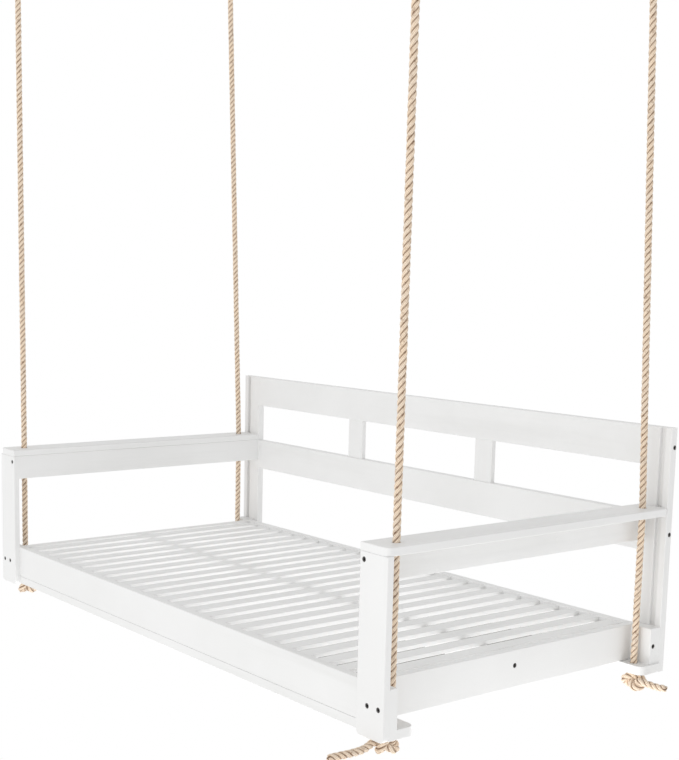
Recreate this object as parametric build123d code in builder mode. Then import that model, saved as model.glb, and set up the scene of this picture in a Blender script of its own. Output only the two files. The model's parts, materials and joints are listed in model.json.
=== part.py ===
"""Porch swing seat: a slatted daybed on four ropes, hung from four ceiling eye plates.

Millimetres, +Z up, +X along the seat's length to the right, front towards -Y.
The origin is on the ceiling, midway between the four eye plates.
"""
import math
import os
from build123d import *

os.makedirs("parts", exist_ok=True)

# ---- overall sizes -------------------------------------------------------------------
post_out_x = 1066.0      # outer edge of the front posts and armrests
hang_height = 2340.0     # ceiling down to the top of the seat rails
seat_depth = 1047.0      # front rail face to back post face
board_t = 26.0           # rails, aprons, blocks and bearers
rail_h = 106.0           # front, back and end rails
back_rail_inset = 15.0   # back post's face to the back rail
edge_r = 2.5             # eased edges of the boards

# ---- armrests and posts --------------------------------------------------------------
post_w = 104.0           # front post width
post_t = 19.0            # front post thickness, proud of the rail
post_drop = 135.0        # rail top down to the feet of the posts
post_corner_r = 14.0     # rounded feet of the front posts
arm_top = 352.0          # rail top up to the armrest top
arm_t = 22.0             # armrest board thickness
arm_corner_r = 16.0      # rounded outer corners of the armrest board
apron_h = 81.0           # board under the armrest

# ---- backrest ------------------------------------------------------------------------
back_top = 583.0         # rail top up to the top of the back
back_t = 26.0            # back posts and back rails
back_rail_h = 114.0      # top and middle rails
mid_rail_top = 329.0     # rail top up to the middle rail's top
back_post_w = 98.0
strip_w = 22.0           # outer strip of a back post, beside its groove
groove_w = 18.0          # groove down the front of a back post
groove_d = 10.0
spindle_w = 79.0
spindle_t = 18.0
spindle_x = 331.0        # spindles, each side of their own middle
spindle_shift = -23.0    # their middle, from the seat's middle

# ---- bearers, slats and ledgers ------------------------------------------------------
bearer_w = 86.0          # long flat boards under the frame, which the ropes carry
bearer_corner_r = 22.0
slat_count = 24
slat_w = 48.0
slat_t = 12.0
slat_end_gap = 14.55     # end rail to the first slat
slat_drop = 4.0          # slat tops below the rail tops
ledger_w = 22.0
ledger_h = 22.0
centre_rail_h = 56.0
centre_rail_y = 518.0    # behind the front rail's face
slat_edge_r = 1.5

# ---- ropes ---------------------------------------------------------------------------
rope_d = 20.0
rope_in = 48.0           # rope holes, from the outer edge of the armrests
front_rope_y = 48.0      # front rope holes, behind the front rail's face
back_rope_in = 59.0      # back rope holes, ahead of the back posts' face
front_splay = 14.0       # front eye plates stand this far outside their holes
back_splay = -18.0       # back eye plates stand this far inside their holes
back_lean = 87.0         # back eye plates stand this far ahead of their holes
rope_hole_clear = 2.0    # radial, round a rope in the armrest
bearer_hole_clear = 1.5  # radial, round a rope in the bearer
knot_r = 34.0
knot_h = 42.0
knot_round = 16.0
knot_flat = 24.0         # flat on the side where the tail leaves
tail_drop = 20.0         # bearer down to the tail's axis
splice_len = 110.0       # spliced stretch below the rope's eye
splice_full = 30.0       # its full-width part
splice_rise = 12.0       # how far it reaches above the throat
splice_r = 13.0

# ---- ceiling hardware ----------------------------------------------------------------
plate_x = 90.0
plate_y = 60.0
plate_t = 6.0
plate_corner_r = 8.0
plate_hole_r = 3.5
plate_hole_dx = 66.0
plate_hole_dy = 36.0
staple_d = 10.0
staple_w = 44.0          # between the leg centres
staple_bend_r = 13.0
staple_weld = 1.0        # legs stand this deep in the plate
bar_drop = 45.0          # ceiling down to the centre of the staple's bar
link_d = 10.0
link_gap = 30.0          # inside width of the quick link
link_long = 66.0         # straight part of its sides
sleeve_len = 26.0        # the link's screw sleeve
sleeve_flat_r = 8.0
sleeve_drop = 12.0       # upper bend down to the sleeve
sleeve_clear = 0.1
thimble_in_r = 17.0
thimble_wall = 3.0
thimble_w = 24.0
thimble_flange_t = 1.6
thimble_flange_h = 7.0
thimble_leg = 32.0
eye_drop = 90.0          # thimble centre down to the throat of the rope's eye

# ---- fasteners and fits --------------------------------------------------------------
bolt_head_d = 13.0
bolt_head_h = 8.0
bolt_shank_d = 8.0
bolt_key = 6.0
bolt_sink = 1.0          # heads lie this far below the wood
bolt_key_depth = 4.0
bolt_hold = 45.0         # depth of a bolt's hole in end grain
bolt_spare = 5.0         # hole beyond a bolt's tip
block_skin = 2.0         # wood left behind the bolts in a front block
low_bolt_in = (41.0, 83.0)   # front posts' low bolts, from the post's inner edge
post_bolt_in = 15.0      # front posts' upper bolt, from the post's inner edge
back_bolt_in = 17.0      # back posts' upper bolts, behind the post's face
post_bolt_drop = 42.0    # armrest top down to that bolt
hole_clear = 0.25        # radial, round a shank
head_clear = 0.5         # radial, round a head
plug_d = 10.0
plug_proud = 0.6
apron_plug_y = 663.0     # behind the front rail's face
hang_gap = 0.3           # between parts that hang in each other
seat_gap = 0.3           # knot to bearer
pivot_gap = 0.5          # at each armrest, where a rope's two stretches turn

# ---- derived -------------------------------------------------------------------------
rope_r = rope_d / 2
top_z = -hang_height
low_z = top_z - rail_h
bearer_z = low_z - board_t
foot_z = top_z - post_drop
arm_z = top_z + arm_top
post_in_x = post_out_x - post_w
rope_x = post_out_x - rope_in
back_rope_y = seat_depth - back_rope_in
slat_pitch = (2 * (post_in_x - slat_end_gap) - slat_w) / (slat_count - 1)
end_out_x = post_in_x + board_t
front_y = -(front_rope_y + back_rope_y - back_lean) / 2
back_y = front_y + seat_depth
back_rail_y = back_y - back_rail_inset - board_t
back_block_x = post_in_x + back_post_w
bolt_bore = bolt_head_h + bolt_sink
apron_z = arm_z - arm_t - apron_h
sides = (("left", -1), ("right", 1))
corners = (
    ("front_left", -1, front_rope_y, front_splay, 0.0),
    ("front_right", 1, front_rope_y, front_splay, 0.0),
    ("back_left", -1, back_rope_y, back_splay, back_lean),
    ("back_right", 1, back_rope_y, back_splay, back_lean),
)
tails = {
    "front_left": (90, 100.0),
    "front_right": (-90, 175.0),
    "back_left": (180, 95.0),
    "back_right": (0, 95.0),
}

# ---- seat frame ----------------------------------------------------------------------
with BuildPart() as front_rail:
    with Locations((0, front_y + board_t / 2, top_z - rail_h / 2)):
        Box(2 * post_in_x, board_t, rail_h)
    fillet(front_rail.edges().filter_by(Axis.X), edge_r)
front_rail.part.label = "front_rail"
export_step(front_rail.part, "parts/front_rail.step")

rail_bolt_y = back_rail_y + board_t / 2
rail_bolt_z = top_z - rail_h / 2
with BuildPart() as back_rail:
    with Locations((0, back_rail_y + board_t / 2, top_z - rail_h / 2)):
        Box(2 * post_in_x, board_t, rail_h)
    fillet(back_rail.edges().filter_by(Axis.X), edge_r)
    for side, sign in sides:
        with BuildSketch(Plane.YZ.offset(sign * post_in_x)):
            with Locations((rail_bolt_y, rail_bolt_z)):
                Circle(bolt_shank_d / 2 + hole_clear)
        extrude(amount=-sign * bolt_hold, mode=Mode.SUBTRACT)
back_rail.part.label = "back_rail"
export_step(back_rail.part, "parts/back_rail.step")

centre_y = front_y + centre_rail_y
centre_z = top_z - slat_drop - slat_t - centre_rail_h / 2
for side, sign in sides:
    with BuildPart() as end_rail:
        with Locations((
            sign * (post_in_x + board_t / 2),
            (front_y + back_rail_y + board_t) / 2,
            top_z - rail_h / 2,
        )):
            Box(board_t, back_rail_y + board_t - front_y, rail_h)
        fillet(end_rail.edges().filter_by(Axis.Y), edge_r)
        with BuildSketch(Plane.YZ.offset(sign * end_out_x)):
            with Locations((centre_y, centre_z)):
                Circle(bolt_head_d / 2 + head_clear)
        extrude(amount=-sign * bolt_bore, mode=Mode.SUBTRACT)
        with BuildSketch(Plane.YZ.offset(sign * end_out_x)):
            with Locations((centre_y, centre_z), (rail_bolt_y, rail_bolt_z)):
                Circle(bolt_shank_d / 2 + hole_clear)
        extrude(amount=-sign * board_t, mode=Mode.SUBTRACT)
    end_rail.part.label = f"end_rail_{side}"
    export_step(end_rail.part, f"parts/end_rail_{side}.step")

with BuildPart() as centre_rail:
    with Locations((0, centre_y, centre_z)):
        Box(2 * post_in_x, board_t, centre_rail_h)
    fillet(centre_rail.edges().filter_by(Axis.X), edge_r)
    for side, sign in sides:
        with BuildSketch(Plane.YZ.offset(sign * post_in_x)):
            with Locations((centre_y, centre_z)):
                Circle(bolt_shank_d / 2 + hole_clear)
        extrude(amount=-sign * bolt_hold, mode=Mode.SUBTRACT)
centre_rail.part.label = "centre_rail"
export_step(centre_rail.part, "parts/centre_rail.step")

ledger_z = top_z - slat_drop - slat_t - ledger_h / 2
with BuildPart() as front_ledger:
    with Locations((0, front_y + board_t + ledger_w / 2, ledger_z)):
        Box(2 * post_in_x, ledger_w, ledger_h)
front_ledger.part.label = "front_ledger"
export_step(front_ledger.part, "parts/front_ledger.step")

with BuildPart() as back_ledger:
    with Locations((0, back_rail_y - ledger_w / 2, ledger_z)):
        Box(2 * post_in_x, ledger_w, ledger_h)
back_ledger.part.label = "back_ledger"
export_step(back_ledger.part, "parts/back_ledger.step")

slat_len = back_rail_y - front_y - board_t
with BuildPart() as slats:
    with Locations((0, front_y + board_t + slat_len / 2, top_z - slat_drop - slat_t / 2)):
        with GridLocations(slat_pitch, 1, slat_count, 1):
            Box(slat_w, slat_len, slat_t)
    fillet(slats.edges().filter_by(Axis.Y), slat_edge_r)
slats.part.label = "slats"
export_step(slats.part, "parts/slats.step")

# ---- bearers: the ropes pass through their ends ----------------------------------------
with BuildPart() as front_bearer:
    with BuildSketch(Plane.XY.offset(bearer_z)):
        with Locations((0, front_y + bearer_w / 2)):
            Rectangle(2 * post_out_x, bearer_w)
        fillet(vertices().group_by(Axis.Y)[-1], bearer_corner_r)
        with Locations((-rope_x, front_y + front_rope_y), (rope_x, front_y + front_rope_y)):
            Circle(rope_r + bearer_hole_clear, mode=Mode.SUBTRACT)
    extrude(amount=board_t)
    fillet(front_bearer.faces().sort_by(Axis.Z)[0].outer_wire().edges(), edge_r)
front_bearer.part.label = "front_bearer"
export_step(front_bearer.part, "parts/front_bearer.step")

with BuildPart() as back_bearer:
    with BuildSketch(Plane.XY.offset(bearer_z)):
        with Locations((0, back_y - bearer_w / 2)):
            Rectangle(2 * post_out_x, bearer_w)
        fillet(vertices().group_by(Axis.Y)[0], bearer_corner_r)
        with Locations((-rope_x, front_y + back_rope_y), (rope_x, front_y + back_rope_y)):
            Circle(rope_r + bearer_hole_clear, mode=Mode.SUBTRACT)
    extrude(amount=board_t)
    fillet(back_bearer.faces().sort_by(Axis.Z)[0].outer_wire().edges(), edge_r)
back_bearer.part.label = "back_bearer"
export_step(back_bearer.part, "parts/back_bearer.step")

# ---- corner blocks, outside the end rails ----------------------------------------------
low_bolt_x = (post_in_x + low_bolt_in[0], post_in_x + low_bolt_in[1])
with BuildPart() as front_blocks:
    for side, sign in sides:
        with Locations((
            sign * (end_out_x + post_out_x) / 2,
            front_y + board_t / 2,
            top_z - rail_h / 2,
        )):
            Box(post_out_x - end_out_x, board_t, rail_h)
    fillet(front_blocks.edges().group_by(Axis.Z)[-1].filter_by(Axis.X), edge_r)
    with BuildSketch(Plane.XZ.offset(-front_y)):
        for side, sign in sides:
            with Locations((sign * low_bolt_x[0], rail_bolt_z), (sign * low_bolt_x[1], rail_bolt_z)):
                Circle(bolt_shank_d / 2 + hole_clear)
    extrude(amount=block_skin - board_t, mode=Mode.SUBTRACT)
front_blocks.part.label = "front_blocks"
export_step(front_blocks.part, "parts/front_blocks.step")

with BuildPart() as back_blocks:
    for side, sign in sides:
        with Locations((
            sign * (end_out_x + back_block_x) / 2,
            (back_rail_y + back_y) / 2,
            top_z - rail_h / 2,
        )):
            Box(back_block_x - end_out_x, back_y - back_rail_y, rail_h)
    fillet(back_blocks.edges().group_by(Axis.Z)[-1].filter_by(Axis.X), edge_r)
    for side, sign in sides:
        with BuildSketch(Plane.YZ.offset(sign * back_block_x)):
            with Locations((rail_bolt_y, rail_bolt_z)):
                Circle(bolt_head_d / 2 + head_clear)
        extrude(amount=-sign * bolt_bore, mode=Mode.SUBTRACT)
        with BuildSketch(Plane.YZ.offset(sign * back_block_x)):
            with Locations((rail_bolt_y, rail_bolt_z)):
                Circle(bolt_shank_d / 2 + hole_clear)
        extrude(amount=-sign * (back_block_x - end_out_x), mode=Mode.SUBTRACT)
back_blocks.part.label = "back_blocks"
export_step(back_blocks.part, "parts/back_blocks.step")

# ---- posts -----------------------------------------------------------------------------
post_bolt_x = post_in_x + post_bolt_in
post_bolt_z = arm_z - post_bolt_drop
for side, sign in sides:
    with BuildPart() as front_post:
        with BuildSketch(Plane.XZ.offset(-front_y)):
            with Locations((sign * (post_in_x + post_w / 2), (foot_z + arm_z - arm_t) / 2)):
                Rectangle(post_w, arm_z - arm_t - foot_z)
            fillet(vertices().group_by(Axis.Y)[0], post_corner_r)
        extrude(amount=post_t)
        fillet(front_post.faces().sort_by(Axis.Y)[0].edges(), edge_r)
        with BuildSketch(Plane.XZ.offset(-front_y + post_t)):
            with Locations(
                (sign * post_bolt_x, post_bolt_z),
                (sign * low_bolt_x[0], rail_bolt_z),
                (sign * low_bolt_x[1], rail_bolt_z),
            ):
                Circle(bolt_head_d / 2 + head_clear)
        extrude(amount=-bolt_bore, mode=Mode.SUBTRACT)
        with BuildSketch(Plane.XZ.offset(-front_y + post_t)):
            with Locations(
                (sign * post_bolt_x, post_bolt_z),
                (sign * low_bolt_x[0], rail_bolt_z),
                (sign * low_bolt_x[1], rail_bolt_z),
            ):
                Circle(bolt_shank_d / 2 + hole_clear)
        extrude(amount=-post_t, mode=Mode.SUBTRACT)
    front_post.part.label = f"front_post_{side}"
    export_step(front_post.part, f"parts/front_post_{side}.step")

back_bolt_y = back_y + back_bolt_in
strip_x = back_block_x - strip_w
groove_x = strip_x - groove_w
back_bolt_z = (top_z + back_top - back_rail_h / 2, top_z + mid_rail_top - back_rail_h / 2)
for side, sign in sides:
    with BuildPart() as back_post:
        with BuildSketch(Plane.XY.offset(foot_z)):
            with Locations((sign * (post_in_x + back_post_w / 2), back_y + back_t / 2)):
                Rectangle(back_post_w, back_t)
            fillet(vertices(), edge_r)
        extrude(amount=post_drop)
        with BuildSketch(Plane.XY.offset(top_z)):
            with BuildLine():
                Polyline(
                    (sign * post_in_x, back_y),
                    (sign * groove_x, back_y),
                    (sign * groove_x, back_y + groove_d),
                    (sign * strip_x, back_y + groove_d),
                    (sign * strip_x, back_y),
                    (sign * back_block_x, back_y),
                    (sign * back_block_x, back_y + back_t),
                    (sign * post_in_x, back_y + back_t),
                    close=True,
                )
            make_face()
            groove_floor = (sign * (groove_x + strip_x) / 2, back_y + groove_d, top_z)
            fillet(vertices().sort_by_distance(groove_floor)[2:], edge_r)
        extrude(amount=back_top)
        for bolt_z in back_bolt_z:
            with BuildSketch(Plane.YZ.offset(sign * back_block_x)):
                with Locations((back_bolt_y, bolt_z)):
                    Circle(bolt_head_d / 2 + head_clear)
            extrude(amount=-sign * bolt_bore, mode=Mode.SUBTRACT)
            with BuildSketch(Plane.YZ.offset(sign * back_block_x)):
                with Locations((back_bolt_y, bolt_z)):
                    Circle(bolt_shank_d / 2 + hole_clear)
            extrude(amount=-sign * back_post_w, mode=Mode.SUBTRACT)
    back_post.part.label = f"back_post_{side}"
    export_step(back_post.part, f"parts/back_post_{side}.step")

# ---- armrests --------------------------------------------------------------------------
for side, sign in sides:
    with BuildPart() as armrest:
        with BuildSketch(Plane.XY.offset(arm_z - arm_t)):
            with Locations((sign * (post_in_x + post_w / 2), front_y + (seat_depth - post_t) / 2)):
                Rectangle(post_w, seat_depth + post_t)
            outer = vertices().group_by(Axis.X)[0 if sign < 0 else -1]
            fillet(outer, arm_corner_r)
            with Locations(
                (sign * rope_x, front_y + front_rope_y),
                (sign * rope_x, front_y + back_rope_y),
            ):
                Circle(rope_r + rope_hole_clear, mode=Mode.SUBTRACT)
        extrude(amount=arm_t)
        fillet(armrest.faces().sort_by(Axis.Z)[-1].outer_wire().edges(), edge_r)
        fillet(armrest.faces().sort_by(Axis.Z)[0].outer_wire().edges(), edge_r)
    armrest.part.label = f"armrest_{side}"
    export_step(armrest.part, f"parts/armrest_{side}.step")

plug_y = front_y + apron_plug_y
for side, sign in sides:
    with BuildPart() as apron:
        with Locations((
            sign * (post_in_x + board_t / 2),
            front_y + seat_depth / 2,
            apron_z + apron_h / 2,
        )):
            Box(board_t, seat_depth, apron_h)
        fillet(apron.edges().group_by(Axis.Z)[0].filter_by(Axis.Y), edge_r)
        with BuildSketch(Plane.XZ.offset(-front_y)):
            with Locations((sign * post_bolt_x, post_bolt_z)):
                Circle(bolt_shank_d / 2 + hole_clear)
        extrude(amount=-bolt_hold - bolt_spare, mode=Mode.SUBTRACT)
    apron.part.label = f"apron_{side}"
    export_step(apron.part, f"parts/apron_{side}.step")

with BuildPart() as apron_plugs:
    for side, sign in sides:
        with BuildSketch(Plane.YZ.offset(sign * end_out_x)):
            with Locations((plug_y, apron_z + apron_h / 2)):
                Circle(plug_d / 2)
        extrude(amount=sign * plug_proud)
apron_plugs.part.label = "apron_plugs"
export_step(apron_plugs.part, "parts/apron_plugs.step")

# ---- back rails and spindles -----------------------------------------------------------
back_rails = (("back_top_rail", back_bolt_z[0]), ("back_mid_rail", back_bolt_z[1]))
for name, middle_z in back_rails:
    with BuildPart() as cross_rail:
        with Locations((0, back_y + back_t / 2, middle_z)):
            Box(2 * post_in_x, back_t, back_rail_h)
        fillet(cross_rail.edges().filter_by(Axis.X), edge_r)
        for side, sign in sides:
            with BuildSketch(Plane.YZ.offset(sign * post_in_x)):
                with Locations((back_bolt_y, middle_z)):
                    Circle(bolt_shank_d / 2 + hole_clear)
            extrude(amount=-sign * bolt_hold, mode=Mode.SUBTRACT)
    cross_rail.part.label = name
    export_step(cross_rail.part, f"parts/{name}.step")

spindle_low = top_z + mid_rail_top
spindle_len = back_top - back_rail_h - mid_rail_top
with BuildPart() as spindles:
    with Locations(
        (spindle_shift - spindle_x, back_y + back_t / 2, spindle_low + spindle_len / 2),
        (spindle_shift + spindle_x, back_y + back_t / 2, spindle_low + spindle_len / 2),
    ):
        Box(spindle_w, spindle_t, spindle_len)
    fillet(spindles.edges().filter_by(Axis.Z), edge_r)
spindles.part.label = "spindles"
export_step(spindles.part, "parts/spindles.step")

# ---- bolts: hexagon sockets, three lengths ---------------------------------------------
bolt_lengths = (
    ("short_bolts", post_t - bolt_bore + board_t - 2 * block_skin),
    ("medium_bolts", post_t - bolt_bore + bolt_hold),
    ("long_bolts", back_post_w - bolt_bore + bolt_hold - bolt_spare),
)
bolt_shapes = {}
for name, shank in bolt_lengths:
    with BuildPart() as bolt:
        with Locations((0, 0, -bolt_sink)):
            Cylinder(bolt_head_d / 2, bolt_head_h, align=(Align.CENTER, Align.CENTER, Align.MAX))
        with Locations((0, 0, -bolt_bore)):
            Cylinder(bolt_shank_d / 2, shank, align=(Align.CENTER, Align.CENTER, Align.MAX))
        with BuildSketch(Plane.XY.offset(-bolt_sink)):
            RegularPolygon(bolt_key / 2, 6, major_radius=False)
        extrude(amount=-bolt_key_depth, mode=Mode.SUBTRACT)
    bolt_shapes[name] = bolt.part

post_face_y = front_y - post_t
short_spots = []
for side, sign in sides:
    for bolt_x in low_bolt_x:
        short_spots.append(Location((sign * bolt_x, post_face_y, rail_bolt_z), (90, 0, 0)))
medium_spots = []
for side, sign in sides:
    medium_spots.append(Location((sign * post_bolt_x, post_face_y, post_bolt_z), (90, 0, 0)))
    medium_spots.append(Location((sign * end_out_x, centre_y, centre_z), (0, 90 * sign, 0)))
long_spots = []
for side, sign in sides:
    long_spots.append(Location((sign * back_block_x, rail_bolt_y, rail_bolt_z), (0, 90 * sign, 0)))
    for bolt_z in back_bolt_z:
        long_spots.append(Location((sign * back_block_x, back_bolt_y, bolt_z), (0, 90 * sign, 0)))

bolt_spots = (
    ("short_bolts", short_spots),
    ("medium_bolts", medium_spots),
    ("long_bolts", long_spots),
)
for name, spots in bolt_spots:
    with BuildPart() as bolts:
        with Locations(*spots):
            add(bolt_shapes[name])
    bolts.part.label = name
    export_step(bolts.part, f"parts/{name}.step")

# ---- lower ropes: armrest to knot, with their tails ------------------------------------
rope_top = arm_z - rope_r - pivot_gap
knot_top = bearer_z - seat_gap
for name, sign, hole_y, splay, lean in corners:
    heading, tail_len = tails[name]
    turn = Location((sign * rope_x, front_y + hole_y, 0), (0, 0, heading))
    with BuildPart() as straight:
        with BuildSketch(Plane.XY.offset(knot_top)):
            Circle(rope_r)
        extrude(amount=rope_top - knot_top)
        with BuildSketch(Plane.YZ.offset(knot_flat)):
            with Locations((0, bearer_z - tail_drop)):
                Circle(rope_r)
        extrude(amount=tail_len)
    lower_rope = turn * straight.part
    lower_rope.label = f"lower_rope_{name}"
    export_step(lower_rope, f"parts/lower_rope_{name}.step")
    with BuildPart() as lump:
        with Locations((0, 0, knot_top)):
            Cylinder(knot_r, knot_h, align=(Align.CENTER, Align.CENTER, Align.MAX))
        fillet(lump.edges().filter_by(GeomType.CIRCLE), knot_round)
        with Locations((knot_flat, 0, knot_top)):
            Box(
                2 * knot_r,
                3 * knot_r,
                3 * knot_h,
                align=(Align.MIN, Align.CENTER, Align.CENTER),
                mode=Mode.SUBTRACT,
            )
    knot = turn * lump.part
    knot.label = f"knot_{name}"
    export_step(knot, f"parts/knot_{name}.step")

# ---- ceiling plates: a pad with a staple, four screw holes left empty -------------------
staple_r = staple_d / 2
with BuildPart() as eye_plate:
    with BuildSketch(Plane.XY.offset(-plate_t)):
        RectangleRounded(plate_x, plate_y, plate_corner_r)
        with GridLocations(plate_hole_dx, plate_hole_dy, 2, 2):
            Circle(plate_hole_r, mode=Mode.SUBTRACT)
    extrude(amount=plate_t)
    with BuildLine(Plane.XZ) as staple_line:
        FilletPolyline(
            (-staple_w / 2, staple_weld - plate_t),
            (-staple_w / 2, -bar_drop),
            (staple_w / 2, -bar_drop),
            (staple_w / 2, staple_weld - plate_t),
            radius=staple_bend_r,
        )
    with BuildSketch(Plane.XY.offset(staple_weld - plate_t)):
        with Locations((-staple_w / 2, 0)):
            Circle(staple_r)
    sweep(path=staple_line.line)
plate_spots = []
for name, sign, hole_y, splay, lean in corners:
    plate_spots.append(Location((sign * (rope_x + splay), front_y + hole_y - lean, 0)))
with BuildPart() as eye_plates:
    with Locations(*plate_spots):
        add(eye_plate.part)
eye_plates.part.label = "eye_plates"
export_step(eye_plates.part, "parts/eye_plates.step")

# ---- hanging gear, drawn once about the staple's bar and hung on each plate -------------
link_r = link_d / 2
link_bend = link_gap / 2 + link_r
link_top = hang_gap + staple_r + link_r
upper_arc_z = link_top - link_bend
lower_arc_z = upper_arc_z - link_long
with BuildPart() as link:
    with BuildLine(Plane.YZ) as link_line:
        run_up = Line((link_bend, lower_arc_z), (link_bend, upper_arc_z))
        over = RadiusArc(run_up @ 1, (-link_bend, upper_arc_z), -link_bend)
    with BuildSketch(Plane.XY.offset(lower_arc_z)):
        with Locations((0, link_bend)):
            Circle(link_r)
    sweep(path=link_line.line)
    with BuildLine(Plane.YZ) as low_line:
        run_down = Line((-link_bend, upper_arc_z), (-link_bend, lower_arc_z))
        under = RadiusArc(run_down @ 1, (link_bend, lower_arc_z), -link_bend)
    with BuildSketch(Plane.XY.offset(upper_arc_z)):
        with Locations((0, -link_bend)):
            Circle(link_r)
    sweep(path=low_line.line)

with BuildPart() as link_sleeve:
    with BuildSketch(Plane.XY.offset(upper_arc_z - sleeve_drop)):
        with Locations((0, link_bend)):
            RegularPolygon(sleeve_flat_r, 6, major_radius=False)
            Circle(link_r + sleeve_clear, mode=Mode.SUBTRACT)
    extrude(amount=-sleeve_len)

seat_dip = math.sqrt((link_gap / 2) ** 2 - (thimble_w / 2) ** 2)
crown_z = lower_arc_z - seat_dip + hang_gap - thimble_in_r
eye_r = thimble_in_r + thimble_wall + hang_gap + rope_r
half_angle = math.asin(eye_r / eye_drop)
mid_angle = (math.pi / 2 - half_angle) / 2
touch_x = eye_r * math.cos(half_angle)
touch_z = crown_z - eye_r * math.sin(half_angle)
throat_z = crown_z - eye_drop
floor_r = thimble_in_r + thimble_wall
floor_x = floor_r * math.cos(half_angle)
floor_z = crown_z - floor_r * math.sin(half_angle)
flange_x = (thimble_w - thimble_flange_t) / 2
with BuildPart() as thimble:
    with BuildLine(Plane.XZ) as thimble_line:
        leg_up = Line(
            (floor_x - thimble_leg * math.sin(half_angle), floor_z - thimble_leg * math.cos(half_angle)),
            (floor_x, floor_z),
        )
        crown = ThreePointArc(leg_up @ 1, (0, crown_z + floor_r), (-floor_x, floor_z))
        Line(
            crown @ 1,
            (thimble_leg * math.sin(half_angle) - floor_x, floor_z - thimble_leg * math.cos(half_angle)),
        )
    with BuildSketch(Plane(leg_up @ 0, x_dir=(0, 1, 0), z_dir=leg_up % 0)):
        Rectangle(thimble_w, thimble_wall, align=(Align.CENTER, Align.MIN))
        with Locations((-flange_x, -thimble_flange_h / 2), (flange_x, -thimble_flange_h / 2)):
            Rectangle(thimble_flange_t, thimble_flange_h)
    sweep(path=thimble_line.line)

with BuildPart() as rope_eye:
    with BuildLine(Plane.XZ) as eye_line:
        leg = Line((0, throat_z), (touch_x, touch_z))
        ThreePointArc(
            leg @ 1,
            (eye_r * math.cos(mid_angle), crown_z + eye_r * math.sin(mid_angle)),
            (0, crown_z + eye_r),
        )
    with BuildSketch(Plane(leg @ 0, z_dir=leg % 0)):
        Circle(rope_r)
    sweep(path=eye_line.line)
    mirror(about=Plane.YZ)
    with Locations((0, 0, throat_z + splice_rise)):
        Cylinder(splice_r, splice_full, align=(Align.CENTER, Align.CENTER, Align.MAX))
    with Locations((0, 0, throat_z + splice_rise - splice_full)):
        Cone(
            rope_r,
            splice_r,
            splice_len - splice_full,
            align=(Align.CENTER, Align.CENTER, Align.MAX),
        )
splice_end_z = throat_z + splice_rise - splice_len

for name, sign, hole_y, splay, lean in corners:
    bar = Vector(sign * (rope_x + splay), front_y + hole_y - lean, -bar_drop)
    hole = Vector(sign * rope_x, front_y + hole_y, arm_z)
    rope_len = (bar - hole).length
    hang = Plane(bar, x_dir=(1, 0, 0), z_dir=bar - hole).location
    with BuildPart() as run:
        with BuildSketch(Plane.XY.offset(-rope_len)):
            Circle(rope_r)
        extrude(amount=rope_len + splice_end_z)
        with Locations((0, 0, -rope_len)):
            Sphere(rope_r)
    pieces = (
        ("link", link.part),
        ("link_sleeve", link_sleeve.part),
        ("thimble", thimble.part),
        ("rope_eye", rope_eye.part),
        ("upper_rope", run.part),
    )
    for kind, shape in pieces:
        hung = hang * shape
        hung.label = f"{kind}_{name}"
        export_step(hung, f"parts/{kind}_{name}.step")
    print(name, "rope length", round(rope_len, 1), "bar", bar, "hole", hole)
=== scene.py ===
"""Porch swing daybed: laid rope, stopper knots, painted boards and zinc fittings.

Metres, +Z up, +X along the seat to its right, front towards -Y, origin on the ceiling between
the four eye plates. Every finished piece keeps its place in its mesh.
"""

import json
import math

import bpy
import numpy as np
from bpy.props import FloatProperty, FloatVectorProperty, IntProperty, PointerProperty
from mathutils import Matrix, Vector


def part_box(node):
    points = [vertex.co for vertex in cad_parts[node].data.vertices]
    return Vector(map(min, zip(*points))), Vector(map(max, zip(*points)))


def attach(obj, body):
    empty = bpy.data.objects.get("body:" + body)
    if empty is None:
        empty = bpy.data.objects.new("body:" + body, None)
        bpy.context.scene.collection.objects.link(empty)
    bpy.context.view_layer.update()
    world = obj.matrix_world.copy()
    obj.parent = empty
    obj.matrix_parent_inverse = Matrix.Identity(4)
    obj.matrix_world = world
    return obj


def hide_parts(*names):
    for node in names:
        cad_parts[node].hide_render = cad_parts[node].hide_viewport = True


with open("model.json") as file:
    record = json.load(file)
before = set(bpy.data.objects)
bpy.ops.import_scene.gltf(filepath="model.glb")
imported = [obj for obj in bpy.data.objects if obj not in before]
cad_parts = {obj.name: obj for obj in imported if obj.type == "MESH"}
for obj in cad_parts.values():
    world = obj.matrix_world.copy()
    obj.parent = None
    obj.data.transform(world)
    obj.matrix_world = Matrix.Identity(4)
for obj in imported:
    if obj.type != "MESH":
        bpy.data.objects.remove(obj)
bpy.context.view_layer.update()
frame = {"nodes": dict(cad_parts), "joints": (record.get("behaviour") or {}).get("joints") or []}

bl_info = {
    "name": "Porch Swing Daybed",
    "version": (1, 0, 0),
    "blender": (4, 5, 0),
    "location": "View3D > Sidebar > Porch Swing",
    "description": "Laid rope, knots, painted boards and zinc fittings for a hanging daybed",
    "category": "Add Mesh",
}

# ---- places, in metres ------------------------------------------------------------------
ARM_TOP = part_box("armrest_left")[1].z
BEARER_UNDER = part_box("front_bearer")[0].z
FRONT_HOLE_Y = -0.4265
BACK_HOLE_Y = 0.5135
HOLE_X = 1.018
BARS = {j["child"].removeprefix("hanger_"): Vector(j["pos_m"]) for j in frame["joints"]}
HOLES = {
    "front_left": Vector((-HOLE_X, FRONT_HOLE_Y, ARM_TOP)),
    "front_right": Vector((HOLE_X, FRONT_HOLE_Y, ARM_TOP)),
    "back_left": Vector((-HOLE_X, BACK_HOLE_Y, ARM_TOP)),
    "back_right": Vector((HOLE_X, BACK_HOLE_Y, ARM_TOP)),
}
CORNERS = tuple(HOLES)
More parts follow.
